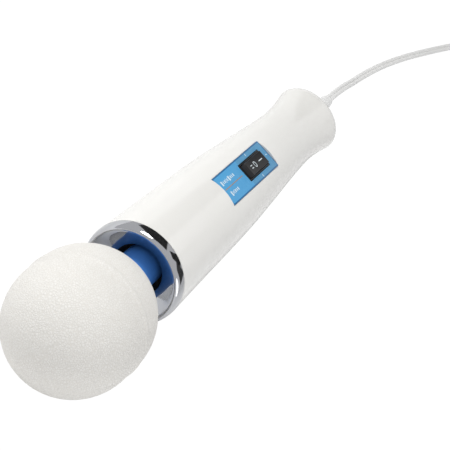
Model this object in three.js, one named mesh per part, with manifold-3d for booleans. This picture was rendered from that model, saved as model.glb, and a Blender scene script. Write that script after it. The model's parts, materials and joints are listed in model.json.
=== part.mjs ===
// Handheld wand massager with a mains lead. Millimetres, +Z up.
//
// The wand is drawn straight along its own axis first: x runs from the middle of
// the head to the tail, y across, z out through the switch panel. The finished wand
// is then laid down, switch up, so that its head and its tail both touch z = 0.

import * as THREE from 'three';
import { mergeVertices } from 'three/addons/utils/BufferGeometryUtils.js';
import Module from 'manifold-3d';

const wasm = await Module();
wasm.setup();

// ---- driving dimensions ----

const gap = 0.3;                  // play between pieces that touch
const roundSides = 30;            // sides of the large turned pieces

const head = { radius: 31, belt: 5.1, skin: 4, coreWall: 2.5, mouth: 13.4 };
const neck = {
  radius: 9.7, wall: 1.2, front: 31.6, rear: 60.2, mouthRadius: 13,
  spigot: 8.2, bore: 6, springRadius: 7.1, springWire: 1.4,
};
const bezel = { rim: 44.3, rimRadius: 23.2, back: 50, radius: 24.9, throat: 12.4, lip: 52.8 };
const handle = {
  wall: 2.4,
  // half widths along the handle, from the bezel through the waist to the tail
  outline: [
    [50, 24.9], [80, 23.95], [112, 23.1], [142, 22], [172, 20.1],
    [202, 18], [225, 17], [240, 17.75], [253, 19.5],
  ],
  tailCorner: 8,
  tailSquash: 0.76,               // depth over width at the tail, where the section is oval
  squashFrom: 150,
  squashTo: 250,
};
const panel = { middle: 142, height: 20.15, slope: 3.06, length: 58, width: 16.4, thick: 0.6, flatHalf: 9.5 };
const switchBody = {
  halfLong: 12.4, halfWide: 4.8, top: 0.15, base: -14, pocketLong: 11.95, pocketWide: 4.1, pocketFloor: -9,
};
const rocker = { middle: 10.3, pivotDepth: 3.5, reach: 11.65, width: 7.6, tipHeight: 2.2, dip: 0.7 };
const relief = { root: 6, tip: 3.2, collar: 9, start: 255, out: 262.4, end: 287 };
const lead = { width: 4.5, thick: 2.4 };
const coil = { x: 388, y: -46, inner: 19.2, outer: 33.6, low: 1.2, high: 10.5 };
const plug = {
  x: 414.3, y: -49.05, lift: 10.6, turn: -75, z: 6.6, height: 13.2,
  bladeApart: 12.7, bladeWide: 6.35, bladeThick: 1.5, bladeLong: 17,
};
const plate = { start: 142, end: 184, half: 7, depth: 18.2, thick: 0.6 };
const motor = {
  shaft: 3, start: 78, end: 100, radius: 20, bore: 10.8, poleHalf: 7, coilReach: 3.4,
  frontBracket: { start: 64, radius: 19.2 }, rearBracket: { start: 116, radius: 16.2 }, bracketThick: 4,
  bearingRadius: 8, mountThick: 1.7,
  fan: { start: 69.6, end: 73.2, radius: 16, hub: 7 },
  brush: { start: 107.6, end: 111.8, inner: 6.3, outer: 13, half: 2.6 },
};
const headBearing = { near: 15.8, far: 20.4, web: 16.6, webEnd: 19.6 };
// the head's shaft ends short of the neck's middle, where the drive spring takes over
const drive = {
  shaftStart: -23, shaftEnd: 43.5,
  spring: { start: 44.8, end: 58, radius: 3.95, turns: 4, wire: 1.2 },
  collar: { start: 59, end: 63.2, radius: 5.2 },
};
const neckSpring = { start: 39.2, end: 55, turns: 5 };
const guideRing = { start: 48, end: 52, inner: 5.1, outer: 6.1 };

// ---- finishes ----

const finish = (color, roughness, metalness = 0) => (
  new THREE.MeshStandardMaterial({ color, roughness, metalness })
);
const glossWhite = finish('#ebeae6', 0.22);
const softVinyl = finish('#e6e4dc', 0.6);
const polishedMetal = finish('#c9ccd0', 0.08, 1);
const neckBlue = finish('#145abe', 0.35);
const panelBlue = finish('#4a93cf', 0.4);
const switchBlack = finish('#141414', 0.35);
const steel = finish('#a3a6aa', 0.35, 1);
const laminated = finish('#6d6f73', 0.55, 0.8);
const copper = finish('#b5643a', 0.35, 0.9);
const carbon = finish('#2b2b2d', 0.8);
const boardGreen = finish('#1f6b3f', 0.55);
const innerPlastic = finish('#c9c7bf', 0.5);
const rubberGrey = finish('#4b4c4e', 0.8);
const leadWhite = finish('#dedcd6', 0.45);
const brass = finish('#c2a25a', 0.3, 1);

// ---- solids and cuts ----

// A closed geometry with its corners merged and its flat slivers dropped, as a solid.
function solidOf(geometry) {
  const bare = geometry.clone();
  bare.deleteAttribute('normal');
  bare.deleteAttribute('uv');
  const merged = mergeVertices(bare, 1e-4);
  const corners = [];
  for (let i = 0; i < merged.index.count; i += 3) {
    const [a, b, c] = [0, 1, 2].map((k) => merged.index.getX(i + k));
    if (a !== b && b !== c && c !== a) corners.push(a, b, c);
  }
  return new wasm.Manifold(new wasm.Mesh({
    numProp: 3,
    vertProperties: Float32Array.from(merged.attributes.position.array),
    triVerts: Uint32Array.from(corners),
  }));
}

function geometryOf(solid) {
  const mesh = solid.getMesh();
  const geometry = new THREE.BufferGeometry();
  geometry.setAttribute('position', new THREE.BufferAttribute(Float32Array.from(mesh.vertProperties), 3));
  geometry.setIndex(new THREE.BufferAttribute(Uint32Array.from(mesh.triVerts), 1));
  geometry.computeVertexNormals();
  return geometry;
}

const join = (first, ...rest) => geometryOf(rest.reduce((sum, g) => sum.add(solidOf(g)), solidOf(first)));
const cut = (first, ...tools) => (
  geometryOf(tools.reduce((left, g) => left.subtract(solidOf(g)), solidOf(first)))
);
const common = (first, second) => geometryOf(solidOf(first).intersect(solidOf(second)));

// Points [x, r] turned about the x axis. The list is closed along the axis or back to its start.
function turned(points, sides = 20) {
  const onAxis = points[0][1] === 0 && points.at(-1)[1] === 0;
  const loop = onAxis ? points : [...points, points[0]];
  let area = 0;
  for (let i = 0; i + 1 < loop.length; i += 1) {
    area += loop[i][1] * loop[i + 1][0] - loop[i + 1][1] * loop[i][0];
  }
  const ordered = area > 0 ? loop : [...loop].reverse();
  const profile = ordered.map(([x, r]) => new THREE.Vector2(r, x));
  return new THREE.LatheGeometry(profile, sides).rotateZ(-Math.PI / 2);
}

// A plain ring or disc from x0 to x1 between two radii.
const ring = (x0, x1, inner, outer, sides = 20) => turned(
  inner > 0
    ? [[x0, inner], [x1, inner], [x1, outer], [x0, outer]]
    : [[x0, 0], [x0, outer], [x1, outer], [x1, 0]],
  sides,
);

// Points on a circle in the x-r plane, angles in degrees from +x towards +r.
function arc(x, r, radius, from, to, steps) {
  return Array.from({ length: steps + 1 }, (_, i) => {
    const angle = THREE.MathUtils.degToRad(from + ((to - from) * i) / steps);
    return [x + radius * Math.cos(angle), Math.max(0, r + radius * Math.sin(angle))];
  });
}

const box = (x0, x1, y0, y1, z0, z1) => new THREE.BoxGeometry(x1 - x0, y1 - y0, z1 - z0)
  .translate((x0 + x1) / 2, (y0 + y1) / 2, (z0 + z1) / 2);

// An upright cylinder, along z.
const post = (x, y, z0, z1, radius, sides = 12) => new THREE.CylinderGeometry(radius, radius, z1 - z0, sides)
  .rotateX(Math.PI / 2).translate(x, y, (z0 + z1) / 2);

// A shape drawn in y (right) and z (up), pushed from x0 to x1.
const pushed = (shape, x0, x1) => (
  new THREE.ExtrudeGeometry(shape, { depth: x1 - x0, bevelEnabled: false, curveSegments: 12 })
)
  .rotateX(Math.PI / 2).rotateZ(Math.PI / 2).translate(x0, 0, 0);

const roundShape = (radius, sides) => new THREE.Shape(Array.from({ length: sides }, (_, i) => {
  const angle = (2 * Math.PI * i) / sides;
  return new THREE.Vector2(radius * Math.cos(angle), radius * Math.sin(angle));
}));

const tube = (shape, path, steps) => (
  new THREE.ExtrudeGeometry(shape, { extrudePath: path, steps, bevelEnabled: false })
);

class Helix extends THREE.Curve {
  constructor(x0, x1, radius, turns) {
    super();
    Object.assign(this, { x0, x1, radius, turns });
  }

  getPoint(t, target = new THREE.Vector3()) {
    const angle = 2 * Math.PI * this.turns * t;
    const x = this.x0 + (this.x1 - this.x0) * t;
    return target.set(x, this.radius * Math.cos(angle), this.radius * Math.sin(angle));
  }
}

// ---- the scene graph ----

const massager = new THREE.Group();
const wand = new THREE.Group();       // the wand along its own axis
const switchPanel = new THREE.Group();      // the flat on the handle's top, z out of it
const free = new THREE.Group();       // the lead, its coil and its plug, where they lie
massager.add(wand, free);
wand.add(switchPanel);

function put(parent, name, geometry, material) {
  const mesh = new THREE.Mesh(geometry, material);
  mesh.name = name;
  parent.add(mesh);
}

// ---- handle ----

const smooth = (x, from, to) => THREE.MathUtils.smoothstep(x, from, to);
const depthOverWidth = (x) => 1 - (1 - handle.tailSquash) * smooth(x, handle.squashFrom, handle.squashTo);

function squashed(geometry) {
  const place = geometry.attributes.position;
  for (let i = 0; i < place.count; i += 1) place.setZ(i, place.getZ(i) * depthOverWidth(place.getX(i)));
  return geometry;
}

// The handle's side outline, moved inwards by a distance.
function sideLine(inwards) {
  const curve = new THREE.SplineCurve(handle.outline.map(([x, r]) => new THREE.Vector2(x, r - inwards)));
  return curve.getPoints(10).map((p) => [p.x, p.y]);
}

const tailStart = handle.outline.at(-1);
const tailArc = (inwards) => (
  arc(tailStart[0], tailStart[1] - handle.tailCorner, handle.tailCorner - inwards, 72, 8, 4)
);

function handleTube() {
  const front = bezel.back + gap;
  const outer = sideLine(0).map(([x, r]) => [Math.max(x, front), r]);
  const inner = sideLine(handle.wall).map(([x, r]) => [Math.max(x, front), r]);
  const mouth = relief.root + gap;
  return squashed(turned([
    ...outer, ...tailArc(0), [relief.out - 0.2, mouth],
    [relief.out - handle.wall - 0.2, mouth], ...tailArc(handle.wall).reverse(), ...inner.reverse(),
  ], roundSides));
}

const screwPlaces = [[128, 12.5], [128, -12.5], [214, 8.5], [214, -8.5]];
const screwHead = { radius: 2.7, seat: -7.2 };

const towardsPanel = new THREE.Matrix4().makeRotationY(THREE.MathUtils.degToRad(panel.slope))
  .setPosition(panel.middle, 0, panel.height);
const onPanel = (geometry) => geometry.applyMatrix4(towardsPanel);

// Inner ribs that the motor's rubber rings sit in.
const motorRibs = () => [motor.frontBracket, motor.rearBracket].map(({ start, radius }) => (
  ring(start + 0.8, start + motor.bracketThick - 0.8, radius + motor.mountThick + gap, 24, roundSides)
));

function topShell() {
  const half = common(handleTube(), box(40, 270, -40, 40, gap / 2, 40));
  const inside = squashed(ring(52, 258, 0, 26, roundSides));
  const pillars = screwPlaces.map(([x, y]) => post(x, y, 2, 26, 3.4));
  const bounds = turned([
    [bezel.back + 1, 0], ...sideLine(1).map(([x, r]) => [Math.max(x, bezel.back + 1), r]), [255, 0],
  ], roundSides);
  const upper = box(40, 270, -40, 40, gap / 2, 40);
  const kept = common(common(join(...pillars, ...motorRibs()), squashed(bounds)), upper);
  const shelf = onPanel(box(-32, 32, -10.5, 10.5, -3.2, -0.5));
  const shelfKept = common(shelf, squashed(turned([[60, 0], ...sideLine(1).slice(1), [254, 0]], roundSides)));
  const recess = onPanel(box(
    -panel.length / 2 - gap, panel.length / 2 + gap, -panel.flatHalf, panel.flatHalf, -panel.thick - gap, 12,
  ));
  const { halfLong, halfWide } = switchBody;
  const hole = onPanel(box(
    rocker.middle - halfLong - 0.4, rocker.middle + halfLong + 0.4, -halfWide - 0.4, halfWide + 0.4, -20, 12,
  ));
  const threads = screwPlaces.map(([x, y]) => post(x, y, -1, 12, 1.6));
  return cut(join(half, common(kept, inside), common(shelfKept, inside)), recess, hole, ...threads);
}

function bottomShell() {
  const half = common(handleTube(), box(40, 270, -40, 40, -40, -gap / 2));
  const pillars = screwPlaces.map(([x, y]) => post(x, y, -26, -1, 4.4));
  const bounds = squashed(turned([[60, 0], ...sideLine(1).slice(1), [254, 0]], roundSides));
  const bores = screwPlaces.flatMap(([x, y]) => [
    post(x, y, -26, screwHead.seat, screwHead.radius + 0.5),
    post(x, y, -26, 1, 1.7),
  ]);
  const overPlate = (more, z0, z1) => box(
    plate.start - more, plate.end + more, -plate.half - more, plate.half + more, z0, z1,
  );
  const bed = overPlate(gap, -40, -plate.depth + plate.thick + gap);
  const backing = common(overPlate(2, -24, -plate.depth + 3), bounds);
  const ribs = common(common(join(...motorRibs()), box(40, 130, -30, 30, -30, -gap / 2)), bounds);
  return cut(join(half, common(join(...pillars), bounds), ribs, backing), bed, ...bores);
}

put(wand, 'handle_top_shell', topShell(), glossWhite);
put(wand, 'handle_bottom_shell', bottomShell(), glossWhite);
put(wand, 'rating_plate', box(
  plate.start, plate.end, -plate.half, plate.half, -plate.depth, -plate.depth + plate.thick,
), steel);

screwPlaces.forEach(([x, y], i) => {
  const screw = join(
    post(x, y, screwHead.seat - 2.3, screwHead.seat - gap, screwHead.radius),
    post(x, y, screwHead.seat - 1, 9, 1.3, 8),
  );
  put(wand, `handle_screw_${i + 1}`, screw, steel);
});

put(wand, 'front_bezel', turned([
  [bezel.back, bezel.radius], [48, 24.8], [46.2, 24.4], [44.9, 23.8], [bezel.rim, bezel.rimRadius],
  [44.6, 22.5], [45.9, 20.4], [47.8, 18], [49.9, 15.3], [51.6, 13.2], [bezel.lip, bezel.throat],
  [bezel.lip + 0.7, bezel.throat + 0.3], [bezel.lip + 0.4, bezel.throat + 1.2], [51.2, 17.6],
  [51.2, 20.3], [60, 20.3], [60, 21.7], [bezel.back, 21.7],
], roundSides), polishedMetal);

// ---- switch panel ----

// A block on the panel, centred on the rocker.
const roundRocker = (halfLong, halfWide, z0, z1) => box(
  rocker.middle - halfLong, rocker.middle + halfLong, -halfWide, halfWide, z0, z1,
);
put(switchPanel, 'label_plate', cut(
  box(-panel.length / 2, panel.length / 2, -panel.width / 2, panel.width / 2, -panel.thick, 0),
  roundRocker(switchBody.halfLong + gap, switchBody.halfWide + gap, -2, 1),
), panelBlue);

put(switchPanel, 'switch_body', cut(
  roundRocker(switchBody.halfLong, switchBody.halfWide, switchBody.base, switchBody.top),
  roundRocker(switchBody.pocketLong, switchBody.pocketWide, switchBody.pocketFloor, 1),
), switchBlack);

function rockerButton() {
  const side = new THREE.Shape();
  const tipReach = Math.sqrt(rocker.reach ** 2 - (rocker.tipHeight + rocker.pivotDepth) ** 2);
  const tipAngle = Math.atan2(rocker.tipHeight + rocker.pivotDepth, tipReach);
  side.moveTo(0, rocker.dip);
  side.lineTo(tipReach, rocker.tipHeight);
  side.absarc(0, -rocker.pivotDepth, rocker.reach, tipAngle, -0.12, true);
  side.lineTo(5, -rocker.pivotDepth - 3.4);
  side.lineTo(-5, -rocker.pivotDepth - 3.4);
  side.absarc(0, -rocker.pivotDepth, rocker.reach, Math.PI + 0.12, Math.PI - tipAngle, true);
  return new THREE.ExtrudeGeometry(side, { depth: rocker.width, bevelEnabled: false, curveSegments: 6 })
    .rotateX(Math.PI / 2).translate(rocker.middle, rocker.width / 2, 0);
}
put(switchPanel, 'rocker_button', rockerButton(), switchBlack);

const terminal = { apart: 7, halfThick: 0.4, halfWide: 2.4, tip: -21 };
[-1, 0, 1].forEach((place, i) => {
  const at = rocker.middle + place * terminal.apart;
  put(switchPanel, `switch_terminal_${i + 1}`, box(
    at - terminal.halfThick, at + terminal.halfThick, -terminal.halfWide, terminal.halfWide,
    terminal.tip, switchBody.base - gap,
  ), brass);
});

// ---- lead's way in, board and inner wiring ----

put(wand, 'strain_relief', squashedRelief(), leadWhite);

// A collar held inside the tail, then a taper down to the lead.
function squashedRelief() {
  return squashed(turned([
    [relief.start, 0], [relief.start, relief.collar],
    [relief.start + 3, relief.collar], [relief.start + 3, relief.root],
    [relief.out, relief.root], [relief.out + 3, relief.root - 0.5], [relief.end - 1, relief.tip + 0.2],
    [relief.end, relief.tip - 0.4], [relief.end, 0],
  ]));
}

const board = { start: 177, end: 206, half: 11, low: -4, high: -2.4 };
const diode = { start: 186, end: 194, radius: 1.8, y: 5 };
// from the strain relief over the board to the switch
const innerRoute = [
  [254.4, 0, 0], [248, 0, 0.4], [236, -1.5, 2], [222, -1.8, 3.6], [208, -1.4, 4.4],
  [196, -3, 4.6], [184, -3.4, 3.6], [174, -2, 1.6], [165, -1, -2.6],
];
const route = (points) => new THREE.CatmullRomCurve3(points.map((p) => new THREE.Vector3(...p)));
put(wand, 'circuit_board', box(
  board.start, board.end, -board.half, board.half, board.low, board.high,
), boardGreen);
put(wand, 'rectifier_diode', ring(diode.start, diode.end, 0, diode.radius, 16)
  .translate(0, diode.y, board.high + diode.radius + gap), carbon);
put(wand, 'inner_lead', tube(roundShape(1.4, 6), route(innerRoute), 26), rubberGrey);

// ---- motor ----

// The lower and the upper end of a span measured outwards from the axis, on one side of it.
const onSide = (side, near, far) => [side * near, side * far].sort((a, b) => a - b);

function statorCore() {
  const yoke = ring(motor.start, motor.end, 17.4, motor.radius, 40);
  const poles = [1, -1].map((side) => (
    box(motor.start, motor.end, -motor.poleHalf, motor.poleHalf, ...onSide(side, 9, 17.8))
  ));
  return cut(join(yoke, ...poles), ring(motor.start - 1, motor.end + 1, 0, motor.bore, 32));
}

function fieldCoil(side) {
  const [low, high] = onSide(side, 11.2, 13.5);
  const inside = motor.poleHalf + gap;
  return cut(
    box(motor.start - motor.coilReach, motor.end + motor.coilReach, -inside - 3, inside + 3, low, high),
    box(motor.start - gap, motor.end + gap, -inside, inside, low - 1, high + 1),
  );
}

function armatureCore() {
  const slots = 10;
  const outline = [];
  for (let i = 0; i < slots; i += 1) {
    for (const [turn, r] of [[0.06, 10.2], [0.5, 10.2], [0.94, 10.2], [0.9, 7], [1.1, 7]]) {
      const angle = (2 * Math.PI * (i + turn)) / slots;
      outline.push(new THREE.Vector2(r * Math.cos(angle), r * Math.sin(angle)));
    }
  }
  const shape = new THREE.Shape(outline);
  shape.holes.push(new THREE.Path(roundShape(motor.shaft + gap, 20).getPoints()));
  return pushed(shape, motor.start, motor.end);
}

function coolingFan() {
  const { start, end, radius, hub } = motor.fan;
  const blades = Array.from({ length: 8 }, (_, i) => (
    box(start, end - 0.2, hub - 1, radius, -0.7, 0.7).rotateX((Math.PI * i) / 4)
  ));
  return cut(
    join(ring(start, end, 0, hub, 24), ring(start, start + 1, 0, radius, 24), ...blades),
    ring(start - 5, end + 5, 0, motor.shaft + gap, 20),
  );
}

// An end bracket, its bearing and the rubber ring that holds it in the handle's rib.
function putEndPlate(word, { start, radius }) {
  const end = start + motor.bracketThick;
  put(wand, `motor_${word}_bracket`, ring(start, end, motor.bearingRadius + gap, radius, 28), steel);
  const bearing = ring(start - 0.2, end + 0.4, motor.shaft + gap, motor.bearingRadius, 24);
  put(wand, `motor_bearing_${word}`, bearing, steel);
  const mount = ring(start + 0.4, end - 0.4, radius + gap, radius + motor.mountThick, 28);
  put(wand, `motor_mount_${word}`, mount, rubberGrey);
}

put(wand, 'stator_core', statorCore(), laminated);
put(wand, 'field_coil_upper', fieldCoil(1), copper);
put(wand, 'field_coil_lower', fieldCoil(-1), copper);
putEndPlate('front', motor.frontBracket);
putEndPlate('rear', motor.rearBracket);
put(wand, 'motor_shaft', turned([
  [53.6, 0], [53.6, 2.7], [54, motor.shaft], [122.6, motor.shaft], [123, 2.7], [123, 0],
], 20), steel);
put(wand, 'armature_core', armatureCore(), laminated);
put(wand, 'armature_winding_front', turned([
  [73.8, 3.4], [73.5, 6], [74.6, 8.6], [77.7, 9.4], [77.7, 3.4],
], 24), copper);
put(wand, 'armature_winding_rear', turned([
  [100.3, 3.4], [100.3, 9.4], [103.6, 8.4], [105, 5.8], [105, 3.4],
], 24), copper);
put(wand, 'commutator', turned([
  [105.4, 3.4], [105.4, 6.8], [106.4, 6.8], [106.4, 6], [113.4, 6], [113.4, 3.4],
], 24), copper);
put(wand, 'cooling_fan', coolingFan(), innerPlastic);

for (const [side, word] of [[1, 'left'], [-1, 'right']]) {
  const { start, end, inner, outer, half } = motor.brush;
  put(wand, `carbon_brush_${word}`, box(start, end, ...onSide(side, inner, outer), -half, half), carbon);
  put(wand, `brush_holder_${word}`, cut(
    box(start - 1.4, end + 1.4, ...onSide(side, 8.6, 17), -half - 1.4, half + 1.4),
    box(start - gap, end + gap, ...onSide(side, 8, 15.6), -half - gap, half + gap),
  ), brass);
}

// ---- drive to the head, and the flexible neck round it ----

put(wand, 'drive_collar', ring(
  drive.collar.start, drive.collar.end, motor.shaft + gap, drive.collar.radius, 24,
), steel);
put(wand, 'drive_spring', tube(
  roundShape(drive.spring.wire / 2, 5),
  new Helix(drive.spring.start, drive.spring.end, drive.spring.radius, drive.spring.turns), 44,
), steel);

// The handle's dark socket and the head's collar each have a spigot that the boot is pushed over.
put(wand, 'neck_socket', turned([
  [56.5, neck.bore], [56.5, neck.spigot], [60.5, neck.spigot], [60.5, 21], [63, 21], [63, 8], [61, neck.bore],
], 24), rubberGrey);
put(wand, 'neck_spring', tube(
  roundShape(neck.springWire / 2, 5),
  new Helix(neckSpring.start, neckSpring.end, neck.springRadius, neckSpring.turns), 50,
), steel);
put(wand, 'neck_guide_ring', ring(
  guideRing.start, guideRing.end, guideRing.inner, guideRing.outer, 24,
), innerPlastic);
put(wand, 'neck_boot', turned([
  [neck.front, neck.mouthRadius], [33.4, 12.7], [35, 11.6], [36.6, 10.4],
  [38.4, neck.radius], [neck.rear, neck.radius],
  [neck.rear, neck.radius - neck.wall], [38.4, neck.radius - neck.wall], [36, 9.2], [34, 11.2],
  [neck.front, 11.8],
], 28), neckBlue);
put(wand, 'neck_collar', turned([
  [28.7, neck.bore], [28.7, neck.mouthRadius], [31.2, neck.mouthRadius], [31.2, neck.spigot],
  [36.6, neck.spigot], [36.6, neck.bore],
], 24), innerPlastic);

// ---- head ----

const angleAt = (radius, r) => THREE.MathUtils.radToDeg(Math.asin(r / radius));

function headCap() {
  const inner = head.radius - head.skin;
  return turned([
    ...arc(-head.belt, 0, head.radius, 180, 90, 8),
    ...arc(head.belt, 0, head.radius, 90, angleAt(head.radius, head.mouth), 6),
    ...arc(head.belt, 0, inner, angleAt(inner, head.mouth), 90, 3),
    ...arc(-head.belt, 0, inner, 90, 180, 4),
  ], roundSides);
}

const coreOuter = head.radius - head.skin - 0.9;
const core = { outer: coreOuter, inner: coreOuter - head.coreWall, rear: 27.8 };
const boltPlaces = [[20.6, 0], [-20.6, 0]];
const lug = (x0, x1, radius) => boltPlaces.map(([y, z]) => ring(x0, x1, 0, radius, 12).translate(0, y, z));

function headCoreFront() {
  const cup = turned([
    ...arc(-head.belt, 0, core.outer, 180, 90, 5), [-0.15, core.outer],
    [-0.15, core.inner], ...arc(-head.belt, 0, core.inner, 90, 180, 4),
  ], 24);
  const web = ring(-headBearing.webEnd, -headBearing.web, motor.bearingRadius + gap, 21.5, 20);
  return cut(join(cup, web, ...lug(-12, -0.15, 3.4)), ...lug(-13, 1, 1.6));
}

function headCoreRear() {
  const cup = turned([
    [0.15, core.outer], ...arc(head.belt, 0, core.outer, 90, 29.2, 4), [core.rear, 12.8],
    [core.rear, 6.6], ...arc(head.belt, 0, core.inner, 16, 90, 4), [0.15, core.inner],
  ], 24);
  const web = ring(headBearing.web, headBearing.webEnd, motor.bearingRadius + gap, 21.5, 20);
  return cut(join(cup, web, ...lug(0.15, 9, 3.4)), ...lug(-1, 6.5, 1.9), ...lug(6.5, 10, 3));
}

put(wand, 'head_cap', headCap(), softVinyl);
put(wand, 'head_core_front', headCoreFront(), innerPlastic);
put(wand, 'head_core_rear', headCoreRear(), innerPlastic);
boltPlaces.forEach(([y, z], i) => {
  const screw = turned([[-9, 0], [-9, 1.3], [6.8, 1.3], [6.8, 2.6], [8.8, 2.6], [8.8, 0]], 16);
  put(wand, `head_screw_${i + 1}`, screw.translate(0, y, z), steel);
});
const headBearingRing = (x0, x1) => ring(x0, x1, motor.shaft + gap, motor.bearingRadius, 24);
put(wand, 'head_bearing_front', headBearingRing(-headBearing.far, -headBearing.near), steel);
put(wand, 'head_bearing_rear', headBearingRing(headBearing.near, headBearing.far), steel);
put(wand, 'head_shaft', turned([
  [drive.shaftStart, 0], [drive.shaftStart, 2.7], [drive.shaftStart + 0.4, motor.shaft],
  [drive.shaftEnd - 0.4, motor.shaft], [drive.shaftEnd, 2.7], [drive.shaftEnd, 0],
], 20), steel);

// Half a disc below the shaft with a full hub round it.
function eccentricWeight() {
  const half = common(ring(-11, 11, 0, 14, 32), box(-12, 12, -15, 15, -15, 0.5));
  return cut(join(half, ring(-11, 11, 0, 6, 24)), ring(-12, 12, 0, motor.shaft + gap, 20));
}
put(wand, 'eccentric_weight', eccentricWeight(), brass);

// ---- laying the wand down ----

// How far the surface reaches below the tail's mid line once the axis is tipped by an angle.
function reachBelow(tilt) {
  const stations = [...sideLine(0), ...tailArc(0)];
  return Math.max(...stations.map(([x, r]) => x * Math.sin(tilt) + r * depthOverWidth(x) * Math.cos(tilt)));
}
const headBelow = (tilt) => head.belt * Math.sin(tilt) + head.radius;

let [low, high] = [0, 0.2];
for (let i = 0; i < 40; i += 1) {
  const middle = (low + high) / 2;
  if (reachBelow(middle) < headBelow(middle)) low = middle;
  else high = middle;
}
const tilt = low;

switchPanel.position.set(panel.middle, 0, panel.height);
switchPanel.rotation.y = THREE.MathUtils.degToRad(panel.slope);
wand.rotation.y = tilt;
const span = new THREE.Box3().setFromObject(wand, true);
wand.position.set(-(span.min.x + span.max.x) / 2, 0, -span.min.z);

// ---- the lead, laid on the surface and put away ----

const leadSection = () => new THREE.Shape([
  [-0.5, -0.25], [-0.25, -0.5], [0.25, -0.5], [0.5, -0.25],
  [0.5, 0.25], [0.25, 0.5], [-0.25, 0.5], [-0.5, 0.25],
].map(([u, v]) => new THREE.Vector2(u * lead.width, v * lead.thick)));

// out of the strain relief, down to the surface and away in one loose curve
const leadRoute = [
  [161.6, 0, 12.42], [167, 0, 12], [174, -0.1, 11.3], [181, -0.3, 10.1], [189, -0.7, 8.1],
  [198, -1.2, 5.6], [207, -1.8, 3.5], [217, -2.5, 2.1], [229, -3.6, 1.45], [242, -5.3, 1.4],
  [256, -7.7, 1.35], [271, -10.9, 1.3],
  [286, -14.6, 1.3], [301, -18.7, 1.3], [315, -22.7, 1.3], [328, -26.7, 1.5], [337.6, -29.8, 2.4],
  [344.8, -33.2, 2.8], [350.2, -37.9, 3.2], [352.3, -40.4, 3.4],
];
put(free, 'power_cord', tube(leadSection(), route(leadRoute), 46), leadWhite);

put(free, 'cord_coil', new THREE.LatheGeometry([
  [coil.inner, coil.low], [coil.outer, coil.low], [coil.outer, coil.high], [coil.inner, coil.high],
  [coil.inner, coil.low],
].map(([r, z]) => new THREE.Vector2(r, z)), 32).rotateX(Math.PI / 2).translate(coil.x, coil.y, 0), leadWhite);

const tie = {
  middle: (coil.inner + coil.outer) / 2, across: coil.outer - coil.inner, wide: 6, thick: 0.9, at: 232,
};
const tieReach = tie.across / 2 + 0.5;
const tieOuter = tieReach + tie.thick;
const tieTop = coil.high + gap;
const cordTie = new THREE.Mesh(cut(
  box(-tieOuter, tieOuter, -tie.wide / 2, tie.wide / 2, 0, tieTop + tie.thick),
  box(-tieReach, tieReach, -tie.wide, tie.wide, tie.thick, tieTop),
), rubberGrey);
cordTie.name = 'cord_tie';
cordTie.rotation.z = THREE.MathUtils.degToRad(tie.at);
cordTie.position.set(
  coil.x + tie.middle * Math.cos(cordTie.rotation.z),
  coil.y + tie.middle * Math.sin(cordTie.rotation.z),
  0,
);
free.add(cordTie);

// The plug lies on the coil. In its group it points towards -x, its cord end at the origin.
const plugGroup = new THREE.Group();
plugGroup.position.set(plug.x, plug.y, plug.lift);
plugGroup.rotation.z = THREE.MathUtils.degToRad(plug.turn);
free.add(plugGroup);

function plugBody() {
  const half = [[0, 3.2], [-5, 3.6], [-9, 6.2], [-13, 8.6], [-19, 9.4], [-24, 11.6], [-27, 12]];
  const otherHalf = half.map(([x, y]) => [x, -y]).reverse();
  const outline = new THREE.Shape([...half, ...otherHalf].map(([x, y]) => new THREE.Vector2(x, y)));
  const plan = new THREE.ExtrudeGeometry(outline, { depth: plug.height, bevelEnabled: false });
  const side = new THREE.Shape([
    [1, 3], [-8, 2.2], [-14, 0], [-28, 0], [-28, 13.2], [-14, 13.2], [-8, 11], [1, 10.2],
  ].map(([x, z]) => new THREE.Vector2(x, z)));
  const profile = new THREE.ExtrudeGeometry(side, { depth: 30, bevelEnabled: false })
    .rotateX(Math.PI / 2).translate(0, 15, 0);
  return common(plan, profile);
}
put(plugGroup, 'plug_body', plugBody(), leadWhite);

[1, -1].forEach((side, i) => {
  const y = (side * plug.bladeApart) / 2;
  const half = plug.bladeThick / 2;
  put(plugGroup, `plug_blade_${i + 1}`, box(
    -27 - gap - plug.bladeLong, -27 - gap, y - half, y + half,
    plug.z - plug.bladeWide / 2, plug.z + plug.bladeWide / 2,
  ), brass);
});

// from the coil's upper turns to the plug
const plugLeadRoute = [
  [404.9, -73, 12.95], [408, -70.3, 14.2], [411.2, -66.4, 15.5], [413.5, -61.8, 16.6],
  [414.7, -57, 17.1], [414.9, -53.2, 17.2], [414.35, -49.3, 17.2],
];
put(free, 'plug_lead', tube(leadSection(), route(plugLeadRoute), 14), leadWhite);

export default massager;
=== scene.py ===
import json
import math

import bpy
from mathutils import Matrix, Vector


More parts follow.
